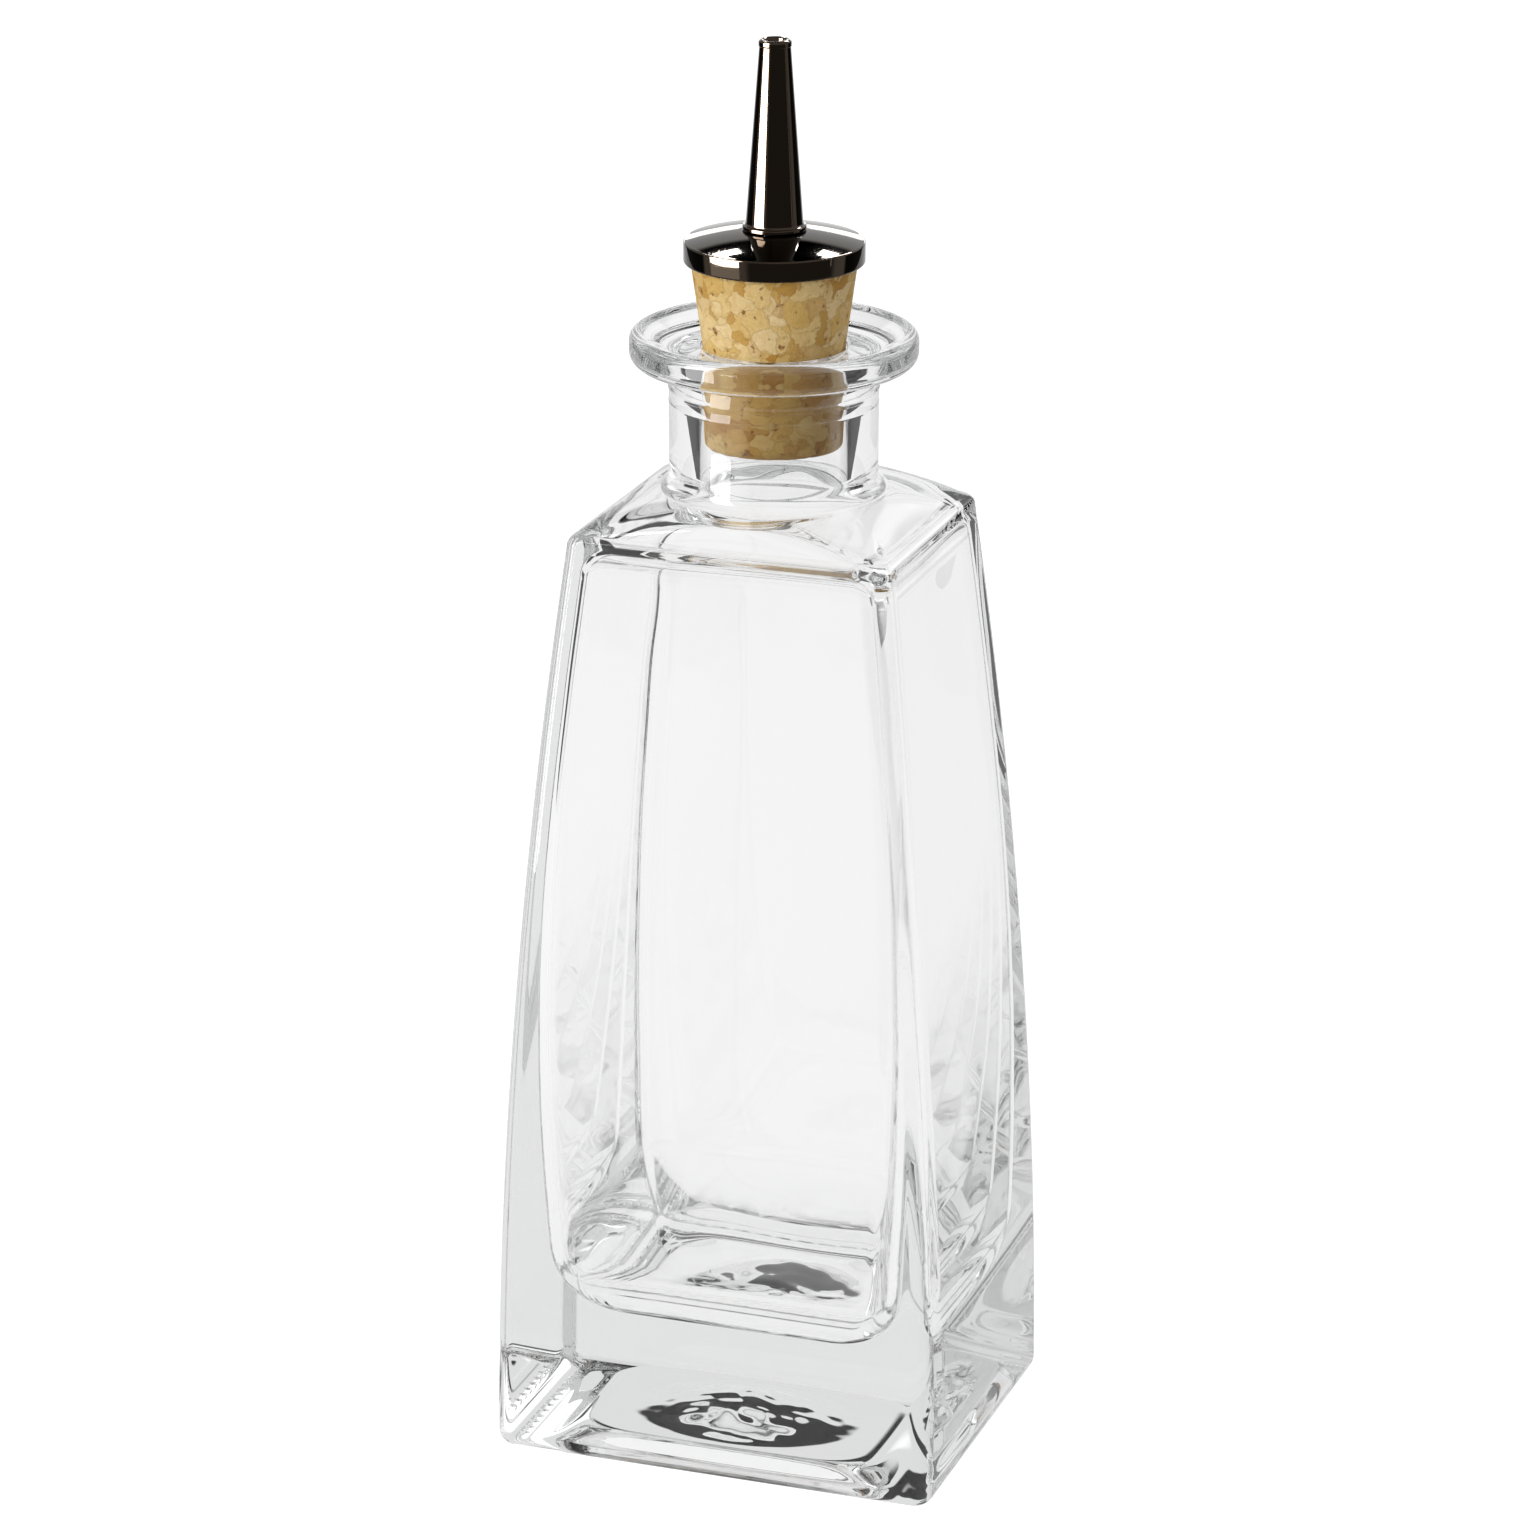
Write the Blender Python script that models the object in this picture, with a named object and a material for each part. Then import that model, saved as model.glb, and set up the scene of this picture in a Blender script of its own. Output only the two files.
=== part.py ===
"""Rectangular glass dash bottle with a cork stopper and a metal pourer.

Lengths are in metres and +Z is up. The bottle stands on Z = 0 and its middle is the Z axis.
A piece's outline is given as (distance from the axis, height) pairs.
"""

import math

import bmesh
import bpy
from mathutils import Matrix, Vector

# Clearance between pieces that touch
FIT_GAP = 0.0003

# Glass body, a column of rectangular plan whose sides lean in along one long curve
BODY_BASE_WIDTH = 0.0682
BODY_BASE_DEPTH = 0.0560
BODY_TOP_WIDTH = 0.0484
BODY_TOP_DEPTH = 0.0423
BODY_HEIGHT = 0.1417
LEAN_POWER = 1.85
BASE_CORNER_RADIUS = 0.0030
TOP_CORNER_RADIUS = 0.0020
HEEL_RADIUS = 0.0025
PUSH_UP_DIAMETER = 0.0400
PUSH_UP_DEPTH = 0.0024

# Shoulder and neck. The roof of the shoulder swells above a straight slope by a share of its rise
SHOULDER_EDGE_RADIUS = 0.0018
SHOULDER_RISE = 0.0043
ROOF_SWELL_SHARE = 0.5
NECK_DIAMETER = 0.0302
NECK_LENGTH = 0.0181
NECK_FOOT_RADIUS = 0.0018
NECK_RING_HEIGHT = 0.0012
NECK_RING_REACH = 0.0003
NECK_RING_DROP = 0.0033

# Flanged lip and mouth
LIP_DIAMETER = 0.0416
LIP_THICKNESS = 0.0048
LIP_TOP_RADIUS = 0.0014
LIP_LOWER_RADIUS = 0.0020
LIP_ROOT_RADIUS = 0.0014
MOUTH_RECESS_DIAMETER = 0.0331
MOUTH_RECESS_DEPTH = 0.0019
MOUTH_EDGE_RADIUS = 0.0005
BORE_DIAMETER = 0.0212

# Hollow inside the glass
GLASS_WALL = 0.0023
WALL_GAIN_AT_FOOT = 0.0086
WALL_GAIN_HEIGHT = 0.1000
FLOOR_THICKNESS = 0.0200
FLOOR_CORNER_RADIUS = 0.0080
FLOOR_CROWN = 0.0006
CAVITY_LOW_CORNER_RADIUS = 0.0060
CAVITY_HIGH_CORNER_RADIUS = 0.0050
CAVITY_ROOF_THICKNESS = 0.0040
CAVITY_ROOF_RISE = 0.0036
CAVITY_EDGE_RADIUS = 0.0040
BORE_FLARE_RADIUS = 0.0030

# Cork stopper
CORK_TIP_DIAMETER = 0.0198
CORK_INSERTION = 0.0145
CORK_STAND_OUT = 0.0120
CORK_EDGE_RADIUS = 0.0008

# Metal cap on the cork
CAP_DIAMETER = 0.0260
CAP_RIM_HEIGHT = 0.0030
CAP_RIM_WALL = 0.0007
CAP_SOCKET_DEPTH = 0.0008
CAP_DOME_RISE = 0.0019
CAP_EDGE_RADIUS = 0.0003

# Tapered spout on the cap
SPOUT_HEIGHT = 0.0272
SPOUT_FOOT_DIAMETER = 0.0082
SPOUT_TIP_DIAMETER = 0.0045
SPOUT_TIP_BORE = 0.0028
SPOUT_FLANGE_DIAMETER = 0.0092
SPOUT_FLANGE_THICKNESS = 0.0005
SPOUT_FLANGE_FILLET = 0.0004
SPOUT_LIP_HEIGHT = 0.0009
SPOUT_LIP_REACH = 0.0001
SPOUT_SOCKET_DEPTH = 0.0050

# Stem tube that runs through the cork and the cap into the spout
STEM_DIAMETER = 0.0048
STEM_BORE = 0.0032
STEM_COLLAR_DIAMETER = 0.0092
STEM_COLLAR_THICKNESS = 0.0010
STEM_BARB_DIAMETER = 0.0066
STEM_BARB_HEIGHT = 0.0009
STEM_END_LENGTH = 0.0003

# Facets: columns round the glass, levels up it, and steps round a turned piece
FLAT_STEPS = 8
CORNER_STEPS = 4
SIDE_LEVELS = 8
ROOF_LEVELS = 5
PUSH_UP_LEVELS = 4
FLARE_LEVELS = 4
FILLET_STEPS = 3
TURNED_STEPS = 40
MERGE_DISTANCE = 0.00001

# Angles at which a round edge ends, in degrees above level
SHOULDER_EDGE_END = 75
CAVITY_EDGE_END = 60
FLOOR_CORNER_START = -18
LIP_TOP_END = 110
SMOOTH_LIMIT = 35

# Heights worked out from the sizes above
SHOULDER_TOP = BODY_HEIGHT + SHOULDER_RISE
LIP_BOTTOM = SHOULDER_TOP + NECK_LENGTH
LIP_TOP = LIP_BOTTOM + LIP_THICKNESS
MOUTH_HEIGHT = LIP_TOP - MOUTH_RECESS_DEPTH
CORK_BOTTOM = MOUTH_HEIGHT - CORK_INSERTION
CAP_BOTTOM = MOUTH_HEIGHT + CORK_STAND_OUT
CAP_SOCKET_TOP = CAP_BOTTOM + CAP_SOCKET_DEPTH
CORK_TOP = CAP_SOCKET_TOP - FIT_GAP

# Radii that two pieces share
CORK_HEAD_RADIUS = CAP_DIAMETER / 2 - CAP_RIM_WALL - FIT_GAP
CORK_MOUTH_RADIUS = BORE_DIAMETER / 2 - FIT_GAP
STEM_HOLE_RADIUS = STEM_DIAMETER / 2 + FIT_GAP
SPOUT_SEAT_RADIUS = SPOUT_FLANGE_DIAMETER / 2 + FIT_GAP


def clear_scene():
    """Empty the file of objects, so that the model stands alone."""
    for old in list(bpy.data.objects):
        bpy.data.objects.remove(old, do_unlink=True)


def principled(name, colour, metallic, roughness, transmission=0.0):
    """A plain material with the piece's colour, gloss and see-through share."""
    material = bpy.data.materials.new(name)
    material.use_nodes = True
    shader = material.node_tree.nodes["Principled BSDF"]
    shader.inputs["Base Color"].default_value = (*colour, 1.0)
    shader.inputs["Metallic"].default_value = metallic
    shader.inputs["Roughness"].default_value = roughness
    shader.inputs["Transmission Weight"].default_value = transmission
    return material


def add_object(name, mesh, material):
    """Put a finished mesh into the scene under its piece's name."""
    mesh.materials.append(material)
    piece = bpy.data.objects.new(name, mesh)
    bpy.context.scene.collection.objects.link(piece)
    return piece


def stand_on(child, parent, height):
    """Carry a piece on another one, with its origin on the axis at a height of the whole part."""
    child.parent = parent
    child.location.z = height - parent.matrix_world.translation.z
    bpy.context.view_layer.update()


def arc(centre_reach, centre_height, radius, start, end, steps):
    """A round stretch of an outline, between two angles in degrees counted from straight out."""
    points = []
    for i in range(steps + 1):
        angle = math.radians(start + (end - start) * i / steps)
        reach = centre_reach + radius * math.cos(angle)
        height = centre_height + radius * math.sin(angle)
        points.append((reach, height))
    return points


def turned_piece(name, outline, material):
    """Turn a closed outline about the axis. The outline runs down its outer side first."""
    mesh = bpy.data.meshes.new(name)
    corners = [(reach, 0.0, height) for reach, height in outline]
    edges = [(i, (i + 1) % len(outline)) for i in range(len(outline))]
    mesh.from_pydata(corners, edges, [])
    piece = add_object(name, mesh, material)
    turn = piece.modifiers.new("turn", "SCREW")
    turn.axis = "Z"
    turn.steps = TURNED_STEPS
    turn.render_steps = TURNED_STEPS
    turn.use_merge_vertices = True
    turn.merge_threshold = MERGE_DISTANCE
    turn.use_smooth_shade = True
    return piece


def plan_level(height, half_width, half_depth, corner_radius, circle_radius=0.0, roundness=0.0):
    """One level of the glass: a rectangle with round corners, drawn towards a circle."""
    level = []
    per_side = FLAT_STEPS + CORNER_STEPS
    for side in range(4):
        reach, along = (half_width, half_depth) if side % 2 == 0 else (half_depth, half_width)
        turn = Matrix.Rotation(math.pi / 2 * side, 2)
        for i in range(per_side):
            if i < FLAT_STEPS:
                spot = Vector((reach, (along - corner_radius) * (2 * i / FLAT_STEPS - 1)))
            else:
                angle = math.pi / 2 * (i - FLAT_STEPS) / CORNER_STEPS
                round_off = Vector((math.cos(angle) - 1, math.sin(angle) - 1))
                spot = Vector((reach, along)) + round_off * corner_radius
            angle = math.pi / 2 * (i - FLAT_STEPS / 2) / per_side
            round_spot = Vector((math.cos(angle), math.sin(angle))) * circle_radius
            spot = turn @ spot.lerp(round_spot, roundness)
            level.append((spot.x, spot.y, height))
    return level


def round_level(reach, height):
    """One round level of the glass."""
    return plan_level(height, reach, reach, 0.0, reach, 1.0)


def body_halves(height, inset=0.0):
    """Half the width and half the depth of the body, upright at the foot and leaning in above."""
    lean = (height / BODY_HEIGHT) ** LEAN_POWER
    half_width = (BODY_BASE_WIDTH - (BODY_BASE_WIDTH - BODY_TOP_WIDTH) * lean) / 2
    half_depth = (BODY_BASE_DEPTH - (BODY_BASE_DEPTH - BODY_TOP_DEPTH) * lean) / 2
    return half_width - inset, half_depth - inset


def body_corner_radius(height):
    """Radius of the body's upright edges, which get finer towards the shoulder."""
    change = TOP_CORNER_RADIUS - BASE_CORNER_RADIUS
    return BASE_CORNER_RADIUS + change * height / BODY_HEIGHT


def roof_share(share):
    """How far a roof has risen at a share of the way from its edge in to the neck."""
    return share * (1 + ROOF_SWELL_SHARE * (1 - share))


def underside_levels():
    """The push-up in the middle of the base, and the flat ring that the bottle stands on."""
    levels = []
    for i in range(1, PUSH_UP_LEVELS + 1):
        share = i / PUSH_UP_LEVELS
        height = PUSH_UP_DEPTH * (1 - share ** 2) ** 2
        levels.append(round_level(PUSH_UP_DIAMETER / 2 * share, height))
    return levels


def heel_levels():
    """The rounded edge where the base turns up into the sides."""
    levels = []
    for inwards, height in arc(0.0, HEEL_RADIUS, HEEL_RADIUS, -90, 0, FILLET_STEPS):
        inset = HEEL_RADIUS - inwards
        corner_radius = body_corner_radius(height) - inset
        levels.append(plan_level(height, *body_halves(height, inset), corner_radius))
    return levels


def side_levels():
    """The long sides, from the heel to just below the shoulder."""
    levels = []
    side_top = BODY_HEIGHT - SHOULDER_EDGE_RADIUS
    for i in range(1, SIDE_LEVELS + 1):
        height = HEEL_RADIUS + (side_top - HEEL_RADIUS) * i / SIDE_LEVELS
        levels.append(plan_level(height, *body_halves(height), body_corner_radius(height)))
    return levels


def shoulder_levels():
    """The rounded shoulder edge, then the roof that rises and turns round to meet the neck."""
    side_top = BODY_HEIGHT - SHOULDER_EDGE_RADIUS
    levels = []
    edge = arc(0.0, side_top, SHOULDER_EDGE_RADIUS, 0, SHOULDER_EDGE_END, FILLET_STEPS)
    for inwards, height in edge[1:]:
        halves = body_halves(side_top, SHOULDER_EDGE_RADIUS - inwards)
        levels.append(plan_level(height, *halves, TOP_CORNER_RADIUS))
    edge_height = height
    foot_reach = NECK_DIAMETER / 2 + NECK_FOOT_RADIUS
    for i in range(1, ROOF_LEVELS + 1):
        share = i / ROOF_LEVELS
        height = edge_height + (SHOULDER_TOP - edge_height) * roof_share(share)
        levels.append(plan_level(height, *halves, TOP_CORNER_RADIUS, foot_reach, share))
    return levels


def neck_levels():
    """The round neck, with its foot fillet and the fine ring left by the mould."""
    neck_radius = NECK_DIAMETER / 2
    foot_reach = neck_radius + NECK_FOOT_RADIUS
    foot_height = SHOULDER_TOP + NECK_FOOT_RADIUS
    outline = arc(foot_reach, foot_height, NECK_FOOT_RADIUS, -90, -180, FILLET_STEPS)[1:]
    ring_middle = LIP_BOTTOM - NECK_RING_DROP
    ring_reach = neck_radius + NECK_RING_REACH
    outline.append((neck_radius, ring_middle - NECK_RING_HEIGHT / 2))
    outline.append((ring_reach, ring_middle - NECK_RING_HEIGHT / 4))
    outline.append((ring_reach, ring_middle + NECK_RING_HEIGHT / 4))
    outline.append((neck_radius, ring_middle + NECK_RING_HEIGHT / 2))
    return [round_level(reach, height) for reach, height in outline]


def lip_levels():
    """The flanged lip, round at its rim, and the shallow recess about the mouth."""
    neck_radius = NECK_DIAMETER / 2
    lip_radius = LIP_DIAMETER / 2
    recess_radius = MOUTH_RECESS_DIAMETER / 2
    root_reach = neck_radius + LIP_ROOT_RADIUS
    root_height = LIP_BOTTOM - LIP_ROOT_RADIUS
    outline = arc(root_reach, root_height, LIP_ROOT_RADIUS, 180, 90, FILLET_STEPS)
    lower_reach = lip_radius - LIP_LOWER_RADIUS
    lower_height = LIP_BOTTOM + LIP_LOWER_RADIUS
    outline += arc(lower_reach, lower_height, LIP_LOWER_RADIUS, -90, 0, FILLET_STEPS)
    upper_reach = lip_radius - LIP_TOP_RADIUS
    upper_height = LIP_TOP - LIP_TOP_RADIUS
    outline += arc(upper_reach, upper_height, LIP_TOP_RADIUS, 0, LIP_TOP_END, FILLET_STEPS + 1)
    outline.append((recess_radius, MOUTH_HEIGHT + MOUTH_RECESS_DEPTH / 4))
    outline.append((recess_radius - MOUTH_RECESS_DEPTH / 2, MOUTH_HEIGHT))
    edge_reach = BORE_DIAMETER / 2 + MOUTH_EDGE_RADIUS
    edge_height = MOUTH_HEIGHT - MOUTH_EDGE_RADIUS
    outline += arc(edge_reach, edge_height, MOUTH_EDGE_RADIUS, 90, 180, FILLET_STEPS - 1)
    return [round_level(reach, height) for reach, height in outline]


def cavity_halves(height, inset=0.0):
    """Half the width and depth of the hollow. The wall thickens towards the foot of the bottle."""
    low = max(0.0, 1 - height / WALL_GAIN_HEIGHT)
    return body_halves(height, GLASS_WALL + WALL_GAIN_AT_FOOT * low ** 2 + inset)


def cavity_corner_radius(height):
    """Radius of the hollow's upright corners, which get rounder towards the floor."""
    change = CAVITY_HIGH_CORNER_RADIUS - CAVITY_LOW_CORNER_RADIUS
    return CAVITY_LOW_CORNER_RADIUS + change * height / BODY_HEIGHT


def cavity_top_levels():
    """The foot of the straight bore, its flare, and the roof that follows the shoulder's."""
    flare_reach = BORE_DIAMETER / 2 + BORE_FLARE_RADIUS
    roof_top = SHOULDER_TOP - CAVITY_ROOF_THICKNESS
    flare_height = roof_top + BORE_FLARE_RADIUS
    flare = arc(flare_reach, flare_height, BORE_FLARE_RADIUS, -180, -90, FLARE_LEVELS)
    levels = [round_level(reach, height) for reach, height in flare]
    edge_height = roof_top - CAVITY_ROOF_RISE
    rise = math.sin(math.radians(CAVITY_EDGE_END)) * CAVITY_EDGE_RADIUS
    edge_start = edge_height - rise
    edge = arc(0.0, edge_start, CAVITY_EDGE_RADIUS, CAVITY_EDGE_END, 0, FILLET_STEPS)
    corner_radius = cavity_corner_radius(edge_start)
    halves = cavity_halves(edge_start, CAVITY_EDGE_RADIUS - edge[0][0])
    for i in range(1, ROOF_LEVELS):
        share = 1 - i / ROOF_LEVELS
        height = edge_height + CAVITY_ROOF_RISE * roof_share(share)
        levels.append(plan_level(height, *halves, corner_radius, flare_reach, share))
    for inwards, height in edge:
        halves = cavity_halves(edge_start, CAVITY_EDGE_RADIUS - inwards)
        levels.append(plan_level(height, *halves, corner_radius))
    return levels, edge_start


def cavity_levels():
    """The whole inside of the glass, down to the thick floor with its rounded corner."""
    levels, wall_top = cavity_top_levels()
    corner_top = FLOOR_THICKNESS + FLOOR_CORNER_RADIUS
    for i in range(1, SIDE_LEVELS + 1):
        height = wall_top + (corner_top - wall_top) * i / SIDE_LEVELS
        levels.append(plan_level(height, *cavity_halves(height), cavity_corner_radius(height)))
    corner = arc(0.0, corner_top, FLOOR_CORNER_RADIUS, FLOOR_CORNER_START, -90, FILLET_STEPS + 1)
    for inwards, height in corner:
        halves = cavity_halves(height, FLOOR_CORNER_RADIUS - inwards)
        sharpening = (1 + inwards / FLOOR_CORNER_RADIUS) / 2
        corner_radius = cavity_corner_radius(height) * sharpening
        levels.append(plan_level(height, *halves, corner_radius))
    half_width, half_depth = halves
    crown_height = FLOOR_THICKNESS + FLOOR_CROWN / 2
    levels.append(plan_level(crown_height, half_width / 2, half_depth / 2, corner_radius / 2))
    return levels


def skin(levels, first_centre, last_centre):
    """Join levels of equal count into one closed surface, ended by a fan at each centre."""
    work = bmesh.new()
    rows = [[work.verts.new(point) for point in level] for level in levels]
    count = len(rows[0])
    for lower, upper in zip(rows, rows[1:]):
        for i in range(count):
            j = (i + 1) % count
            work.faces.new((lower[i], lower[j], upper[j], upper[i]))
    for row, centre in ((rows[0], first_centre), (rows[-1], last_centre)):
        middle = work.verts.new(centre)
        for i in range(count):
            work.faces.new((row[i], row[(i + 1) % count], middle))
    bmesh.ops.recalc_face_normals(work, faces=work.faces)
    mesh = bpy.data.meshes.new("glass")
    work.to_mesh(mesh)
    work.free()
    mesh.shade_smooth()
    mesh.set_sharp_from_angle(angle=math.radians(SMOOTH_LIMIT))
    return mesh


def make_glass_bottle():
    """One moulded piece: thick foot, leaning sides, round neck and flanged lip."""
    levels = underside_levels() + heel_levels() + side_levels() + shoulder_levels()
    levels += neck_levels() + lip_levels() + cavity_levels()
    floor_centre = (0.0, 0.0, FLOOR_THICKNESS + FLOOR_CROWN)
    mesh = skin(levels, (0.0, 0.0, PUSH_UP_DEPTH), floor_centre)
    glass = principled("clear_glass", (0.93, 0.95, 0.95), 0.0, 0.02, 1.0)
    return add_object("glass_bottle", mesh, glass)


def make_cork_stopper():
    """Tapered agglomerated cork, bored for the stem and counterbored for the stem's collar."""
    top = CORK_TOP - CORK_BOTTOM
    mouth = MOUTH_HEIGHT - CORK_BOTTOM
    tip_radius = CORK_TIP_DIAMETER / 2
    collar_seat_radius = STEM_COLLAR_DIAMETER / 2 + FIT_GAP
    collar_seat = top - STEM_COLLAR_THICKNESS - FIT_GAP
    outline = [(collar_seat_radius, top)]
    outline += [(CORK_HEAD_RADIUS, top), (CORK_HEAD_RADIUS, CAP_BOTTOM - CORK_BOTTOM)]
    outline += [(CORK_MOUTH_RADIUS, mouth)]
    edge_reach = tip_radius - CORK_EDGE_RADIUS
    outline += arc(edge_reach, CORK_EDGE_RADIUS, CORK_EDGE_RADIUS, 0, -90, FILLET_STEPS)
    outline += [(STEM_HOLE_RADIUS, 0.0), (STEM_HOLE_RADIUS, collar_seat)]
    outline += [(collar_seat_radius, collar_seat)]
    cork = principled("agglomerated_cork", (0.62, 0.42, 0.20), 0.0, 0.85)
    return turned_piece("cork_stopper", outline, cork)


def cap_dome_height(reach):
    """Height of the cap's domed top above its underside, at a distance from the axis."""
    share = reach / (CAP_DIAMETER / 2)
    return CAP_RIM_HEIGHT + CAP_DOME_RISE * (1 - share ** 2)


def make_pourer_cap(metal):
    """Domed disc that covers the cork's head, with a socket below and a hole for the stem."""
    cap_radius = CAP_DIAMETER / 2
    seat = cap_dome_height(SPOUT_SEAT_RADIUS)
    outline = [(STEM_HOLE_RADIUS, seat)]
    edge_reach = cap_radius - CAP_EDGE_RADIUS
    for i in range(ROOF_LEVELS + 1):
        reach = SPOUT_SEAT_RADIUS + (edge_reach - SPOUT_SEAT_RADIUS) * i / ROOF_LEVELS
        outline.append((reach, cap_dome_height(reach)))
    outline.append((cap_radius, CAP_RIM_HEIGHT - CAP_EDGE_RADIUS))
    outline.append((cap_radius, CAP_EDGE_RADIUS))
    outline.append((cap_radius - CAP_EDGE_RADIUS, 0.0))
    outline.append((CORK_HEAD_RADIUS + FIT_GAP, 0.0))
    outline.append((CORK_HEAD_RADIUS + FIT_GAP, CAP_SOCKET_DEPTH))
    outline.append((STEM_HOLE_RADIUS, CAP_SOCKET_DEPTH))
    return turned_piece("pourer_cap", outline, metal)


def spout_seat_height():
    """Height of the spout's foot, just above the flat seat on the cap's dome."""
    return CAP_BOTTOM + cap_dome_height(SPOUT_SEAT_RADIUS) + FIT_GAP


def make_pourer_spout(metal):
    """Tapered tube with a thin flange at its foot, a fine ring at its tip and a socket."""
    foot_radius = SPOUT_FOOT_DIAMETER / 2
    tip_radius = SPOUT_TIP_DIAMETER / 2
    tip_bore_radius = SPOUT_TIP_BORE / 2
    tip_round = (tip_radius - tip_bore_radius) / 2
    lip_bottom = SPOUT_HEIGHT - SPOUT_LIP_HEIGHT
    flange_radius = SPOUT_FLANGE_DIAMETER / 2
    fillet_top = SPOUT_FLANGE_THICKNESS + SPOUT_FLANGE_FILLET
    outline = [(tip_bore_radius, SPOUT_HEIGHT)]
    tip_centre = tip_radius + SPOUT_LIP_REACH - tip_round
    outline += arc(tip_centre, SPOUT_HEIGHT - tip_round, tip_round, 90, 0, FILLET_STEPS)
    outline.append((tip_radius + SPOUT_LIP_REACH, lip_bottom))
    outline.append((tip_radius, lip_bottom - SPOUT_LIP_REACH))
    outline.append((foot_radius, fillet_top))
    outline.append((foot_radius + SPOUT_FLANGE_FILLET / 3, fillet_top - SPOUT_FLANGE_FILLET * 2 / 3))
    outline.append((flange_radius, SPOUT_FLANGE_THICKNESS))
    outline.append((flange_radius, 0.0))
    outline.append((STEM_HOLE_RADIUS, 0.0))
    outline.append((STEM_HOLE_RADIUS, SPOUT_SOCKET_DEPTH))
    outline.append((STEM_BORE / 2, SPOUT_SOCKET_DEPTH))
    return turned_piece("pourer_spout", outline, metal)


def make_pourer_stem(metal):
    """Tube through the cork, with a collar under the cap and a barb below the cork."""
    radius = STEM_DIAMETER / 2
    bore_radius = STEM_BORE / 2
    top = spout_seat_height() + SPOUT_SOCKET_DEPTH - FIT_GAP - CORK_BOTTOM
    collar_radius = STEM_COLLAR_DIAMETER / 2
    collar_top = CORK_TOP - CORK_BOTTOM
    collar_bottom = collar_top - STEM_COLLAR_THICKNESS
    barb_radius = STEM_BARB_DIAMETER / 2
    barb_bottom = -FIT_GAP - STEM_BARB_HEIGHT
    outline = [(bore_radius, top), (radius, top)]
    outline += [(radius, collar_top), (collar_radius, collar_top)]
    outline += [(collar_radius, collar_bottom), (radius, collar_bottom)]
    outline += [(radius, -FIT_GAP), (barb_radius, -FIT_GAP)]
    outline += [(radius, barb_bottom), (radius, barb_bottom - STEM_END_LENGTH)]
    outline += [(bore_radius, barb_bottom - STEM_END_LENGTH)]
    return turned_piece("pourer_stem", outline, metal)


clear_scene()
bottle = make_glass_bottle()
stopper = make_cork_stopper()
stand_on(stopper, bottle, CORK_BOTTOM)
black_nickel = principled("black_nickel", (0.045, 0.038, 0.032), 1.0, 0.08)
polished_steel = principled("polished_steel", (0.56, 0.55, 0.53), 1.0, 0.18)
cap = make_pourer_cap(black_nickel)
stand_on(cap, stopper, CAP_BOTTOM)
spout = make_pourer_spout(black_nickel)
stand_on(spout, cap, spout_seat_height())
stem = make_pourer_stem(polished_steel)
stand_on(stem, cap, CORK_BOTTOM)
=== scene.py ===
"""The looks of a rectangular glass dash bottle with a cork stopper and a black metal pourer.

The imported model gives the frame: metres, +Z up, the bottle's axis on Z and its foot on Z = 0.
Each section makes one piece, in the order in which the real bottle is put together.
"""

import math

import bmesh
import bpy
from mathutils import Matrix, Vector, noise


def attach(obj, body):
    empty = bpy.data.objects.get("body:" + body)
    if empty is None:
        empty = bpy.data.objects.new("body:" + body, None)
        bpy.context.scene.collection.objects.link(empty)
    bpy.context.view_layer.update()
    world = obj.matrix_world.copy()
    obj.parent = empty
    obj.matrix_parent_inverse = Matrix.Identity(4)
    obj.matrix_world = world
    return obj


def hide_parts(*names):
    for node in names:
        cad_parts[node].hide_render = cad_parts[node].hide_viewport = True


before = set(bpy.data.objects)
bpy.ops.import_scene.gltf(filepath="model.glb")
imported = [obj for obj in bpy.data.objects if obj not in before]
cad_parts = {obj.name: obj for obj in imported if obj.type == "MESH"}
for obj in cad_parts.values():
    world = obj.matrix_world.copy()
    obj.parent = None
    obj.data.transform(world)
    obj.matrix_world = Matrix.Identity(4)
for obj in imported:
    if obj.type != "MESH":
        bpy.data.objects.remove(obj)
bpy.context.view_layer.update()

# The bottle: one piece of clear soda-lime glass, blown in a rectangular iron mould and then
# fire-polished. The foot is thick and solid, the sides lean in along one long arc, and the round
# neck ends in a flanged lip. The mould leaves fine rings on the neck and dots under the foot.

MM = 0.001
FOOT_WIDTH = 68.2 * MM
FOOT_DEPTH = 56.0 * MM
SIDE_TOP_WIDTH = 48.4 * MM
SIDE_TOP_DEPTH = 42.3 * MM
SIDE_HEIGHT = 141.7 * MM
LEAN_POWER = 1.85
FOOT_CORNER = 3.0 * MM
SIDE_TOP_CORNER = 2.0 * MM
HEEL = 2.5 * MM

# Underside: a stepped recess with a rippled push-up, inside a bead that the bottle stands on
PUNT_WIDTH = 35.6 * MM
PUNT_DEPTH = 2.7 * MM
PUNT_SEAT = 3.7 * MM
PUNT_STEP_SHARE = 0.36
PUNT_RIPPLE = 0.42 * MM
PUNT_RIPPLE_LENGTH = 3.4 * MM
BEAD_ROUND = 5.0 * MM
BEAD_TURN = 18

# Mould dots along the bead, which keep the hot glass off the conveyor, and the fine mesh for them
STIPPLE_WIDTH = 1.3 * MM
STIPPLE_HEIGHT = 0.3 * MM
STIPPLE_PITCH = 3.5 * MM
STIPPLE_GRID = 0.22 * MM
STIPPLE_LEVELS = 4

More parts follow.
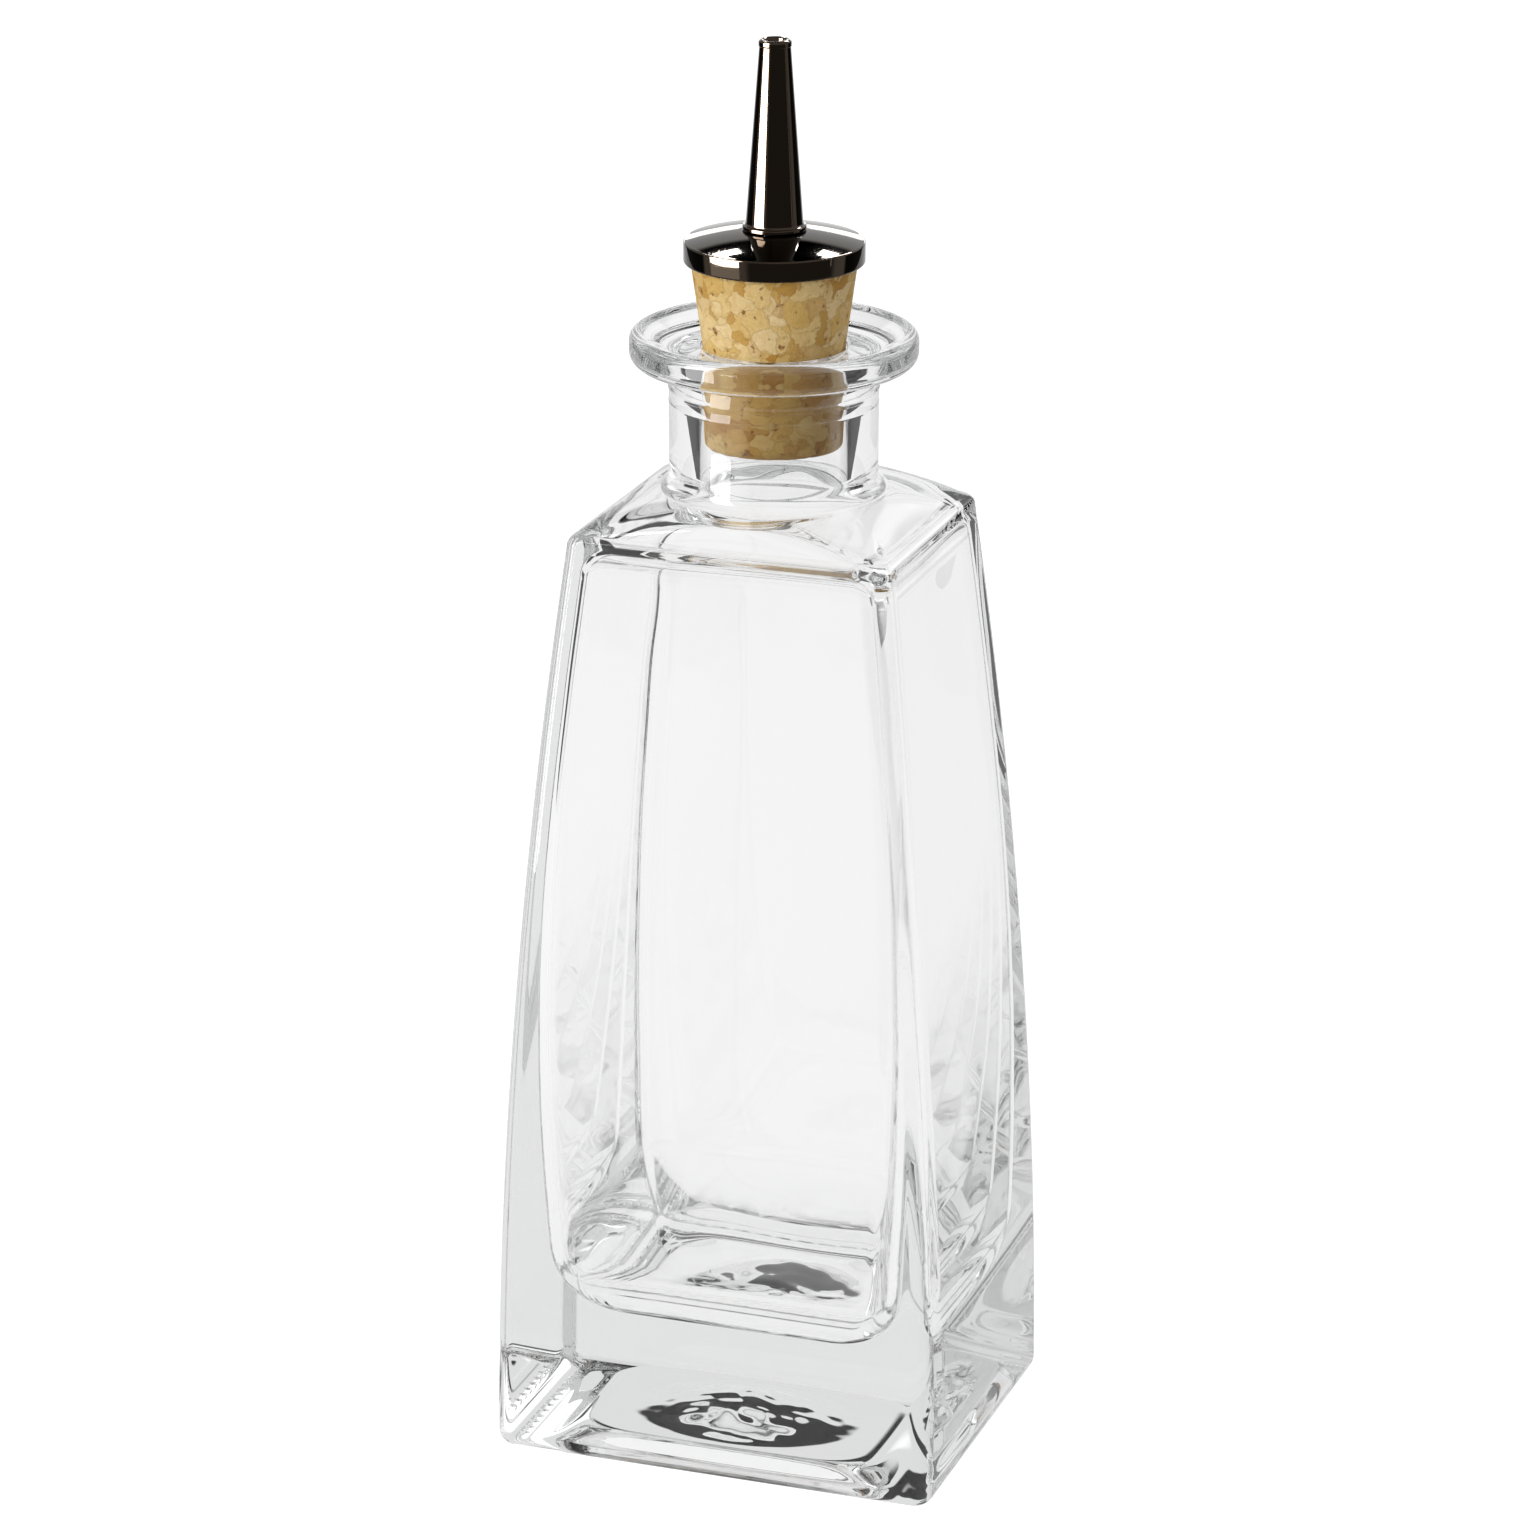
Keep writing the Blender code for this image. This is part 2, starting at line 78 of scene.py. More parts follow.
SHOULDER_EDGE = 1.8 * MM
SHOULDER_EDGE_END = 75
SHOULDER_RISE = 4.3 * MM
ROOF_SWELL_SHARE = 0.5
NECK_WIDTH = 30.2 * MM
NECK_LENGTH = 18.1 * MM
NECK_FOOT = 1.8 * MM
RING_HEIGHT = 1.2 * MM
RING_REACH = 0.14 * MM
RING_DROP = 3.3 * MM
HAIRLINE_DROP = 5.4 * MM
HAIRLINE_HEIGHT = 0.5 * MM
HAIRLINE_REACH = 0.06 * MM

LIP_WIDTH = 41.6 * MM
LIP_THICKNESS = 4.8 * MM
LIP_TOP_ROUND = 1.4 * MM
LIP_TOP_END = 110
LIP_LOWER_ROUND = 2.0 * MM
LIP_ROOT = 1.4 * MM
RECESS_WIDTH = 33.1 * MM
RECESS_DEPTH = 1.9 * MM
MOUTH_EDGE = 0.5 * MM
BORE_WIDTH = 21.2 * MM

# Hollow: the walls thicken towards the foot
WALL = 2.2 * MM
FOOT_WALL_GAIN = 8.2 * MM
FOOT_WALL_HEIGHT = 100.0 * MM
FLOOR_HEIGHT = 20.4 * MM
FLOOR_CROWN = 0.6 * MM
FLOOR_CORNER = 10.5 * MM
FLOOR_CORNER_START = -5
HOLLOW_LOW_CORNER = 6.5 * MM
HOLLOW_HIGH_CORNER = 2.8 * MM
HOLLOW_ROOF_WALL = 3.0 * MM
HOLLOW_ROOF_RISE = 3.4 * MM
HOLLOW_EDGE = 5.0 * MM
HOLLOW_EDGE_END = 70
FLARE = 5.0 * MM

# Slow ripples that blowing leaves in the hollow, stronger at the foot and under the shoulder.
# The places are where in the noise each of the three axes reads its ripple.
RIPPLE_LENGTH = 11.0 * MM
RIPPLE_PLACES = ((0.31, 0.77, 0.12), (5.58, 2.43, 7.66), (9.19, 6.84, 3.05))
RIPPLE = 0.04 * MM
FOOT_RIPPLE = 0.10 * MM
FOOT_RIPPLE_SHARE = 0.5
SHOULDER_RIPPLE = 0.12 * MM
SHOULDER_RIPPLE_SHARE = 0.15

SHOULDER_HEIGHT = SIDE_HEIGHT + SHOULDER_RISE
LIP_UNDERSIDE = SHOULDER_HEIGHT + NECK_LENGTH
LIP_TOP = LIP_UNDERSIDE + LIP_THICKNESS
MOUTH = LIP_TOP - RECESS_DEPTH

# Mesh counts: columns along a side and round a corner, levels up each stretch, steps in a round
FLAT_COLUMNS = 20
CORNER_COLUMNS = 14
PUNT_LEVELS = 28
STEP_LEVELS = 25
SIDE_LEVELS = 44
ROOF_LEVELS = 20
FLOOR_LEVELS = 8
BEAD_STEPS = 6
RING_STEPS = 8
MOUTH_STEPS = 6
EDGE_STEPS = 10
LIP_TOP_STEPS = 12
HOLLOW_EDGE_STEPS = 12
FLARE_STEPS = 14
HEEL_STEPS = 16
FLOOR_STEPS = 22


def srgb(code):
    """Linear colour of an sRGB hex value such as 8A5C2E."""
    linear = []
    for i in (0, 2, 4):
        value = int(code[i:i + 2], 16) / 255
        linear.append(value / 12.92 if value <= 0.04045 else ((value + 0.055) / 1.055) ** 2.4)
    return (*linear, 1.0)


def add_node(tree, kind, links=None, **settings):
    """Add a shader node. Settings are its properties or input values, links feed its inputs."""
    node = tree.nodes.new("ShaderNode" + kind)
    for name, value in settings.items():
        if hasattr(node, name):
            setattr(node, name, value)
        else:
            node.inputs[name.replace("_", " ")].default_value = value
    for name, socket in (links or {}).items():
        tree.links.new(socket, node.inputs[name])
    return node


def new_material(name):
    """An empty node material, and its tree."""
    material = bpy.data.materials.new(name)
    material.use_nodes = True
    material.node_tree.nodes.clear()
    return material, material.node_tree


def arc(centre_reach, centre_height, radius, start, end, steps):
    """A round stretch of an outline, between two angles in degrees counted from straight out."""
    turns = [math.radians(start + (end - start) * i / steps) for i in range(steps + 1)]
    return [
        (centre_reach + radius * math.cos(a), centre_height + radius * math.sin(a)) for a in turns
    ]


def eased(steps):
    """Shares from just above 0 up to 1, close together at both ends."""
    return [(1 - math.cos(math.pi * i / steps)) / 2 for i in range(1, steps + 1)]


def level_points(half_width, half_depth, corner, height, circle=0.0, roundness=0.0):
    """One level of the glass: a rectangle with round corners, drawn towards a circle."""
    points = []
    per_side = FLAT_COLUMNS + CORNER_COLUMNS
    for side in range(4):
        reach, along = (half_width, half_depth) if side % 2 == 0 else (half_depth, half_width)
        turn = Matrix.Rotation(math.pi / 2 * side, 2)
        for i in range(per_side):
            spot = Vector((reach, (corner - along) * math.cos(math.pi * i / FLAT_COLUMNS)))
            if i >= FLAT_COLUMNS:
                angle = math.pi / 2 * (i - FLAT_COLUMNS) / CORNER_COLUMNS
                round_off = Vector((math.cos(angle) - 1, math.sin(angle) - 1)) * corner
                spot = Vector((reach, along)) + round_off
            angle = math.pi / 2 * (i - FLAT_COLUMNS / 2) / per_side
            target = Vector((circle * math.cos(angle), circle * math.sin(angle)))
            spot = turn @ spot.lerp(target, roundness)
            points.append((spot.x, spot.y, height))
    return points


def circle_points(radius, height):
    """One round level of the glass."""
    return level_points(radius, radius, 0.0, height, radius, 1.0)


def side_halves(height, inset=0.0):
    """Half the width and half the depth of the body, which leans in along an arc."""
    lean = (height / SIDE_HEIGHT) ** LEAN_POWER
    half_width = (FOOT_WIDTH - (FOOT_WIDTH - SIDE_TOP_WIDTH) * lean) / 2
    half_depth = (FOOT_DEPTH - (FOOT_DEPTH - SIDE_TOP_DEPTH) * lean) / 2
    return half_width - inset, half_depth - inset


def side_corner(height):
    """Radius of the body's upright edges."""
    return FOOT_CORNER + (SIDE_TOP_CORNER - FOOT_CORNER) * height / SIDE_HEIGHT


def wall_at(height):
    """Thickness of the side walls, which grows towards the foot."""
    low = max(0.0, 1 - height / FOOT_WALL_HEIGHT)
    return WALL + FOOT_WALL_GAIN * low ** 2


def hollow_corner(height):
    """Radius of the hollow's upright corners, which open out towards the floor."""
    low = max(0.0, 1 - height / SIDE_HEIGHT) ** 2
    return HOLLOW_HIGH_CORNER + (HOLLOW_LOW_CORNER - HOLLOW_HIGH_CORNER) * low


def roof_share(share):
    """How far a roof has risen at a share of the way from its edge in to the neck."""
    return share * (1 + ROOF_SWELL_SHARE * (1 - share))


def punt_levels():
    """The underside of the foot, from the middle of the punt out to the bead it rests on."""
    levels = []
    bead = bead_outline()
    for i in range(1, PUNT_LEVELS + 1):
        share = i / PUNT_LEVELS
        height = PUNT_SEAT + PUNT_DEPTH * (1 - share ** 2) ** 2
        reach = PUNT_RIPPLE * (1 - share ** 2)
        levels.append([
            (x, y, z + reach * noise.noise(Vector((x, y, 0.0)) / PUNT_RIPPLE_LENGTH))
            for x, y, z in circle_points(PUNT_WIDTH / 2 * share, height)
        ])
    inner_halves = side_halves(0.0, bead[0][0])
    for i in range(1, STEP_LEVELS):
        out = i / STEP_LEVELS
        halves = [PUNT_WIDTH / 2 + (half - PUNT_WIDTH / 2) * out for half in inner_halves]
        climb = min(1.0, (1 - out) / PUNT_STEP_SHARE)
        height = bead[0][1] + (PUNT_SEAT - bead[0][1]) * climb ** 2 * (3 - 2 * climb)
        levels.append(level_points(*halves, FOOT_CORNER, height, PUNT_WIDTH / 2, 1 - out))
    return levels


def bead_outline():
    """Inset and height of the bead under the foot, from its inner side out to its lowest line."""
    width = BEAD_ROUND * math.sin(math.radians(BEAD_TURN))
    rise = BEAD_ROUND * (1 - math.cos(math.radians(BEAD_TURN)))
    outline = []
    for along, up in arc(0.0, 0.0, BEAD_ROUND, 90, 90 - BEAD_TURN, BEAD_STEPS):
        outline.append((HEEL + 2 * width - along, STIPPLE_HEIGHT + 2 * rise + up - BEAD_ROUND))
    for along, up in arc(0.0, 0.0, BEAD_ROUND, -90 - BEAD_TURN, -90, BEAD_STEPS)[1:]:
        outline.append((HEEL - along, STIPPLE_HEIGHT + BEAD_ROUND + up))
    return outline


def heel_levels():
    """The bead and the rounded heel of the foot, up to the sides."""
    levels = []
    for inset, height in bead_outline():
        levels.append(level_points(*side_halves(height, inset), FOOT_CORNER, height))
    for inwards, up in arc(0.0, HEEL, HEEL, -90, 0, HEEL_STEPS)[1:]:
        height = STIPPLE_HEIGHT + up
        inset = HEEL - inwards
        corner = max(side_corner(height) - inset, MOUTH_EDGE)
        levels.append(level_points(*side_halves(height, inset), corner, height))
    return levels


def outer_levels():
    """The outside of the glass above the heel, up to the mouth."""
    levels = []
    side_top = SIDE_HEIGHT - SHOULDER_EDGE
    heel_top = STIPPLE_HEIGHT + HEEL
    for share in eased(SIDE_LEVELS):
        height = heel_top + (side_top - heel_top) * share
        levels.append(level_points(*side_halves(height), side_corner(height), height))
    edge = arc(0.0, side_top, SHOULDER_EDGE, 0, SHOULDER_EDGE_END, EDGE_STEPS)
    for inwards, height in edge[1:]:
        edge_halves = side_halves(side_top, SHOULDER_EDGE - inwards)
        levels.append(level_points(*edge_halves, SIDE_TOP_CORNER, height))
    edge_top = edge[-1][1]
    neck_reach = NECK_WIDTH / 2 + NECK_FOOT
    for share in eased(ROOF_LEVELS):
        height = edge_top + (SHOULDER_HEIGHT - edge_top) * roof_share(share)
        levels.append(level_points(*edge_halves, SIDE_TOP_CORNER, height, neck_reach, share))
    return levels + [circle_points(reach, height) for reach, height in neck_outline()]


def neck_outline():
    """Outline of the neck and the lip, from the shoulder up and over into the mouth."""
    neck = NECK_WIDTH / 2
    foot_height = SHOULDER_HEIGHT + NECK_FOOT
    outline = arc(neck + NECK_FOOT, foot_height, NECK_FOOT, -90, -180, EDGE_STEPS)[1:]
    low_ring = (LIP_UNDERSIDE - HAIRLINE_DROP, HAIRLINE_HEIGHT, HAIRLINE_REACH)
    high_ring = (LIP_UNDERSIDE - RING_DROP, RING_HEIGHT, RING_REACH)
    for middle, tall, reach in (low_ring, high_ring):
        for i in range(RING_STEPS + 1):
            share = 2 * i / RING_STEPS - 1
            outline.append((neck + reach * (1 - share ** 2) ** 2, middle + tall / 2 * share))
    outline += arc(neck + LIP_ROOT, LIP_UNDERSIDE - LIP_ROOT, LIP_ROOT, 180, 90, EDGE_STEPS)
    lip = LIP_WIDTH / 2
    for size, height, start, end, steps in (
        (LIP_LOWER_ROUND, LIP_UNDERSIDE + LIP_LOWER_ROUND, -90, 0, EDGE_STEPS),
        (LIP_TOP_ROUND, LIP_TOP - LIP_TOP_ROUND, 0, LIP_TOP_END, LIP_TOP_STEPS),
    ):
        outline += arc(lip - size, height, size, start, end, steps)
    recess = RECESS_WIDTH / 2
    outline.append((recess, MOUTH + RECESS_DEPTH / 4))
    outline.append((recess - RECESS_DEPTH / 2, MOUTH))
    bore = BORE_WIDTH / 2
    outline += arc(bore + MOUTH_EDGE, MOUTH - MOUTH_EDGE, MOUTH_EDGE, 90, 180, MOUTH_STEPS)
    return outline


def inner_levels():
    """The inside of the glass: the bore, its flare, the roof and the walls, down to the floor."""
    roof_top = SHOULDER_HEIGHT - HOLLOW_ROOF_WALL
    flare_reach = BORE_WIDTH / 2 + FLARE
    flare = arc(flare_reach, roof_top + FLARE, FLARE, -180, -90, FLARE_STEPS)
    levels = [circle_points(reach, height) for reach, height in flare]
    edge_height = roof_top - HOLLOW_ROOF_RISE
    wall_top = edge_height - HOLLOW_EDGE * math.sin(math.radians(HOLLOW_EDGE_END))
    edge = arc(0.0, wall_top, HOLLOW_EDGE, HOLLOW_EDGE_END, 0, HOLLOW_EDGE_STEPS)
    corner = hollow_corner(wall_top)
    edge_halves = side_halves(wall_top, WALL + HOLLOW_EDGE - edge[0][0])
    for step in eased(ROOF_LEVELS)[:-1]:
        height = edge_height + HOLLOW_ROOF_RISE * roof_share(1 - step)
        levels.append(level_points(*edge_halves, corner, height, flare_reach, 1 - step))
    for inwards, height in edge:
        halves = side_halves(wall_top, WALL + HOLLOW_EDGE - inwards)
        levels.append(level_points(*halves, corner, height))
    corner_top = FLOOR_HEIGHT + FLOOR_CORNER
    for share in eased(SIDE_LEVELS):
        height = wall_top + (corner_top - wall_top) * share
        halves = side_halves(height, wall_at(height))
        levels.append(level_points(*halves, hollow_corner(height), height))
    for inwards, height in arc(
        0.0, corner_top, FLOOR_CORNER, FLOOR_CORNER_START, -90, FLOOR_STEPS,
    ):
        halves = side_halves(height, wall_at(height) + FLOOR_CORNER - inwards)
        corner = hollow_corner(height) * (1 + inwards / FLOOR_CORNER) / 2
        levels.append(level_points(*halves, corner, height))
    for i in range(1, FLOOR_LEVELS):
        share = 1 - i / FLOOR_LEVELS
        height = FLOOR_HEIGHT + FLOOR_CROWN * (1 - share ** 2)
        levels.append(level_points(*[half * share for half in halves], corner * share, height))
    return levels


def rippled(spot):
    """A point of the hollow as blowing leaves it. Above the roof the glass is pressed, and even."""
    if spot[2] > SHOULDER_HEIGHT - HOLLOW_ROOF_WALL:
        return spot
    up = spot[2] / SIDE_HEIGHT
    foot = max(0.0, 1 - up / FOOT_RIPPLE_SHARE)
    shoulder = max(0.0, up - (1 - SHOULDER_RIPPLE_SHARE)) / SHOULDER_RIPPLE_SHARE
    reach = RIPPLE + FOOT_RIPPLE * foot + SHOULDER_RIPPLE * shoulder
    place = Vector(spot) / RIPPLE_LENGTH
    wave = Vector([noise.noise(place + Vector(away)) for away in RIPPLE_PLACES])
    return Vector(spot) + wave * reach


def fine_rows(levels):
    """The same levels with their long spans cut up, and the count of cuts in each span."""
    outer = levels[-1]
    cuts = [
        max(1, math.ceil((Vector(a) - Vector(b)).length / STIPPLE_GRID))
        for a, b in zip(outer, outer[1:] + outer[:1])
    ]
    rows = []
    for level in levels:
        row = []
        for start, end, count in zip(level, level[1:] + level[:1], cuts):
            row += [Vector(start).lerp(Vector(end), i / count) for i in range(count)]
        rows.append(row)
    return rows, cuts


def stipple_places():
    """Middles of the stipple dots, in even steps along the bead's lowest line."""
    half_width, half_depth = (half - FOOT_CORNER / 2 for half in side_halves(0.0, HEEL))
    places = []
    for along, across, turn in ((half_width, half_depth, 0), (half_depth, half_width, 90)):
        count = round(2 * along / STIPPLE_PITCH)
        side = Matrix.Rotation(math.radians(turn), 2)
        for i in range(count + 1):
            step = Vector((along * (2 * i / count - 1), -across - FOOT_CORNER / 2))
            places += [side @ step, side @ -step]
    return places


def stippled(spot, dots):
    """A point of the bead, pushed down where a dot stands on it."""
    flat = Vector((spot.x, spot.y))
    away = min((flat - dot).length for dot in dots) * 2 / STIPPLE_WIDTH
    if away < 1:
        spot.z -= STIPPLE_HEIGHT * (1 - away ** 2) ** 2
    return spot


def glass_mesh():
    """The whole skin of the glass, closed by a fan on the punt and one on the hollow's floor."""
    work = bmesh.new()

    def add_rows(levels):
        return [[work.verts.new(spot) for spot in level] for level in levels]

    def join(rows):
        for lower, upper in zip(rows, rows[1:]):
            for i in range(len(lower)):
                j = (i + 1) % len(lower)
                work.faces.new((lower[i], lower[j], upper[j], upper[i]))

    def stitch(coarse, fine, cuts):
        start = 0
        for i, count in enumerate(cuts):
            span = [fine[(start + k) % len(fine)] for k in range(count + 1)]
            work.faces.new([coarse[i], coarse[(i + 1) % len(coarse)]] + span[::-1])
            start += count

    punt = add_rows(punt_levels())
    heel = heel_levels()
    bead_count = len(bead_outline()) + STIPPLE_LEVELS
    fine_levels, cuts = fine_rows(heel[:bead_count])
    dots = stipple_places()
    bead = add_rows([[stippled(spot, dots) for spot in level] for level in fine_levels])
    hollow = [[rippled(spot) for spot in level] for level in inner_levels()]
    skin = add_rows(heel[bead_count:] + outer_levels() + hollow)
    for rows in (punt, bead, skin):
        join(rows)
    stitch(punt[-1], bead[0], cuts)
    stitch(skin[0], bead[-1], cuts)
    for row, height in ((punt[0], punt_levels()[0][0][2]), (skin[-1], FLOOR_HEIGHT + FLOOR_CROWN)):
        middle = work.verts.new((0.0, 0.0, height))
        for i in range(len(row)):
            work.faces.new((row[i], row[(i + 1) % len(row)], middle))
    bmesh.ops.recalc_face_normals(work, faces=work.faces)
    mesh = bpy.data.meshes.new("glass_bottle_skin")
    work.to_mesh(mesh)
    work.free()
    mesh.shade_smooth()
    return mesh


def fire_polished_glass():
    """Clear soda-lime glass, fire-polished: sharp reflections and no grain.

    Its depth takes a little light away, so that the thick foot looks greyer than the thin walls.
    A lamp's light goes straight through, because bent light would leave the cork in the dark.
    """
    material, tree = new_material("fire_polished_soda_lime_glass")
    glass = add_node(
        tree, "BsdfPrincipled", Base_Color=(1, 1, 1, 1), Roughness=0.0, IOR=1.52,
        Transmission_Weight=1.0,
    )
    lamp_side = add_node(tree, "BsdfTransparent", Color=srgb("F4F6F5"))
    path = add_node(tree, "LightPath")
    surface = add_node(
        tree, "MixShader",
        {0: path.outputs["Is Shadow Ray"], 1: glass.outputs[0], 2: lamp_side.outputs[0]},
    )
    depth = add_node(tree, "VolumeAbsorption", Color=srgb("BBBDBD"), Density=7.0)
    add_node(
        tree, "OutputMaterial", {"Surface": surface.outputs[0], "Volume": depth.outputs[0]},
    )
    return material


glass_skin = bpy.data.objects.new("glass_bottle_skin", glass_mesh())
bpy.context.scene.collection.objects.link(glass_skin)
glass_skin.data.materials.append(fire_polished_glass())
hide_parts("glass_bottle")
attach(glass_skin, "bottle")

# The cork stopper: granules of ground cork bark, glued and pressed into a rod, then sanded to a
# taper. Its head is glued into the cap, its lower half wedges in the bore of the neck, and a
# hole is drilled down its middle for the stem.

FIT_GAP = 0.3 * MM
SHARP_ANGLE = 32
CORK_HEAD_WIDTH = 24.0 * MM
CORK_TIP_WIDTH = 19.8 * MM
CORK_IN_BORE = 14.5 * MM
CORK_STAND_OUT = 12.0 * MM
CORK_EDGE = 1.5 * MM
CORK_COLUMNS = 240
CORK_HEAD_LEVELS = 48
CORK_BORE_LEVELS = 54
CORK_TIP_RINGS = 12
CORK_SEAT_RINGS = 3
CORK_EDGE_STEPS = 8

# Relief of the sanded surface, and the chips that break from its lower edge
CORK_SANDING = 0.06 * MM
CORK_CHIP = 0.9 * MM
CORK_CHIP_BAND = 1.6 * MM
CORK_CHIP_FROM = 0.05

# Grain of the cork: granules, how far their borders wander, bark flecks and pores
CORK_GRANULE = 3.1 * MM
CORK_WANDER = 6.51 * MM
CORK_FLECK = 0.9 * MM
CORK_PORE = 0.25 * MM
CORK_PORE_DEPTH = 0.12 * MM
# The cork is darker and browner from just above the mouth downwards
DARKER_FROM = MOUTH - 1.5 * MM
DARKER_UNTIL = MOUTH + 0.5 * MM
STEM_WIDTH = 4.8 * MM
STEM_COLLAR_WIDTH = 9.2 * MM
STEM_COLLAR_HEIGHT = 1.0 * MM
CAP_SOCKET = 0.8 * MM

CORK_BOTTOM = MOUTH - CORK_IN_BORE
CAP_BOTTOM = MOUTH + CORK_STAND_OUT
CORK_TOP = CAP_BOTTOM + CAP_SOCKET - FIT_GAP
STEM_HOLE = STEM_WIDTH / 2 + FIT_GAP


def straight(start, end, steps):
    """A straight stretch of an outline in equal steps, without its first point."""
    shares = [i / steps for i in range(1, steps + 1)]
    return [tuple(a + (b - a) * share for a, b in zip(start, end)) for share in shares]


def turned(name, outline, columns, material, surface=None):
    """A closed outline spun about the bottle's axis. A surface function may move its points."""
    work = bmesh.new()
    made = []
    for i in range(columns):
        turn = Matrix.Rotation(2 * math.pi * i / columns, 3, "Z")
        spots = [turn @ Vector((reach, 0.0, height)) for reach, height in outline]
        made.append([work.verts.new(surface(spot) if surface else spot) for spot in spots])
    for left, right in zip(made, made[1:] + made[:1]):
        for i in range(len(outline)):
            work.faces.new((left[i - 1], right[i - 1], right[i], left[i]))
    bmesh.ops.recalc_face_normals(work, faces=work.faces)
    mesh = bpy.data.meshes.new(name)
    work.to_mesh(mesh)
    work.free()
    mesh.shade_smooth()
    mesh.set_sharp_from_angle(angle=math.radians(SHARP_ANGLE))
    mesh.materials.append(material)
    piece = bpy.data.objects.new(name, mesh)
    bpy.context.scene.collection.objects.link(piece)
    return piece


def sanded(spot):
    """A point of the sanded cork: granules stand a little high or low, the tip is chipped."""
    outward = Vector((spot.x, spot.y, 0.0))
    if outward.length < CORK_TIP_WIDTH / 2 - CORK_EDGE:
        return spot
    relief = (noise.noise(spot / CORK_GRANULE) - 1) / 2 * CORK_SANDING
    low = max(0.0, 1 - (spot.z - CORK_BOTTOM) / CORK_CHIP_BAND)
    chip = max(0.0, noise.noise(spot / (2 * CORK_FLECK)) - CORK_CHIP_FROM) * low * CORK_CHIP
    return spot + outward.normalized() * (relief - chip)


def pressed_cork():
    """Agglomerated cork, sanded: matt, honey and tan granules with darker seams between them.

    Streaks run through each granule, and bark flecks and pores break the even tone. The half in
    the neck is darker and browner.
    """
    material, tree = new_material("pressed_cork_granules_sanded")
    place = add_node(tree, "TexCoord").outputs["Object"]
    bend = add_node(tree, "TexNoise", {"Vector": place}, Scale=1 / CORK_GRANULE, Detail=6.0)
    shift = add_node(tree, "VectorMath", {0: bend.outputs["Color"]}, operation="SUBTRACT")
    shift.inputs[1].default_value = (0.5, 0.5, 0.5)
    bent = add_node(tree, "VectorMath", {0: shift.outputs[0], 2: place}, operation="MULTIPLY_ADD")
    bent.inputs[1].default_value = (CORK_WANDER,) * 3
    grain = add_node(tree, "TexVoronoi", {"Vector": bent.outputs[0]}, Scale=1 / CORK_GRANULE)
    edge = add_node(
        tree, "TexVoronoi", {"Vector": bent.outputs[0]}, Scale=1 / CORK_GRANULE,
        feature="DISTANCE_TO_EDGE",
    )
    parts = add_node(tree, "SeparateColor", {0: grain.outputs["Color"]})
    tone = add_node(tree, "ValToRGB", {0: parts.outputs["Red"]})
    shades = ("C79C4A", "E6C980", "F3DEA4", "F9EABF", "D9B36A")
    stops = tone.color_ramp.elements
    while len(stops) < len(shades):
        stops.new(0.5)
    for i, (stop, code) in enumerate(zip(stops, shades)):
        stop.position = i / (len(shades) - 1)
        stop.color = srgb(code)
    streak = add_node(
        tree, "TexNoise", {"Vector": bent.outputs[0]}, Scale=1 / CORK_FLECK, Detail=6.0,
        Roughness=0.7,
    )
    fleck = add_node(tree, "TexNoise", {"Vector": place}, Scale=0.7 / CORK_FLECK, Detail=3.0)
    flecked = add_node(
        tree, "MapRange", {"Value": fleck.outputs["Fac"]}, From_Min=0.63, From_Max=0.72,
    )
    seam = add_node(
        tree, "MapRange", {"Value": edge.outputs["Distance"]}, From_Min=0.0, From_Max=0.07,
        To_Min=0.32, To_Max=0.0,
    )
    height = add_node(tree, "SeparateXYZ", {0: place})
    # Darker and browner towards the bottom, from just above the mouth down into the bore
    lower_darkening = add_node(
        tree, "MapRange", {"Value": height.outputs["Z"]}, From_Min=DARKER_FROM,
        From_Max=DARKER_UNTIL, To_Min=0.7, To_Max=0.0,
    )
    colour = tone.outputs[0]
    for share, code, blend in (
        (streak.outputs["Fac"], "CEAA68", "MULTIPLY"),
        (flecked.outputs[0], "8A5A2C", "MIX"),
        (seam.outputs[0], "8E6430", "MIX"),
        (lower_darkening.outputs[0], "A39038", "MULTIPLY"),
    ):
        layer = add_node(tree, "Mix", {0: share, 6: colour}, data_type="RGBA", blend_type=blend)
        layer.inputs[7].default_value = srgb(code)
        colour = layer.outputs[2]
    pore = add_node(tree, "TexNoise", {"Vector": place}, Scale=1 / CORK_PORE, Detail=4.0)
    rough = add_node(tree, "MapRange", {"Value": pore.outputs["Fac"]}, To_Min=0.72, To_Max=0.95)
    depth = add_node(
        tree, "Math", {0: seam.outputs[0], 1: pore.outputs["Fac"]}, operation="SUBTRACT",
    )
    bump = add_node(
        tree, "Bump", {"Height": depth.outputs[0]}, invert=True, Distance=CORK_PORE_DEPTH,
    )
    cork = add_node(
        tree, "BsdfPrincipled",
        {"Base Color": colour, "Roughness": rough.outputs[0], "Normal": bump.outputs[0]},
        IOR=1.45,
    )
    add_node(tree, "OutputMaterial", {"Surface": cork.outputs[0]})
    return material


collar_reach = STEM_COLLAR_WIDTH / 2 + FIT_GAP
collar_seat = CORK_TOP - STEM_COLLAR_HEIGHT - FIT_GAP
cork_outline = straight((STEM_HOLE, collar_seat), (collar_reach, collar_seat), CORK_SEAT_RINGS)
cork_outline.append((collar_reach, CORK_TOP))
cork_outline.append((CORK_HEAD_WIDTH / 2, CORK_TOP))
cork_outline.append((CORK_HEAD_WIDTH / 2, CAP_BOTTOM))
cork_mouth = (BORE_WIDTH / 2 - FIT_GAP, MOUTH)
cork_outline += straight(cork_outline[-1], cork_mouth, CORK_HEAD_LEVELS)
tip_edge = arc(
    CORK_TIP_WIDTH / 2 - CORK_EDGE, CORK_BOTTOM + CORK_EDGE, CORK_EDGE, 0, -90, CORK_EDGE_STEPS,
)
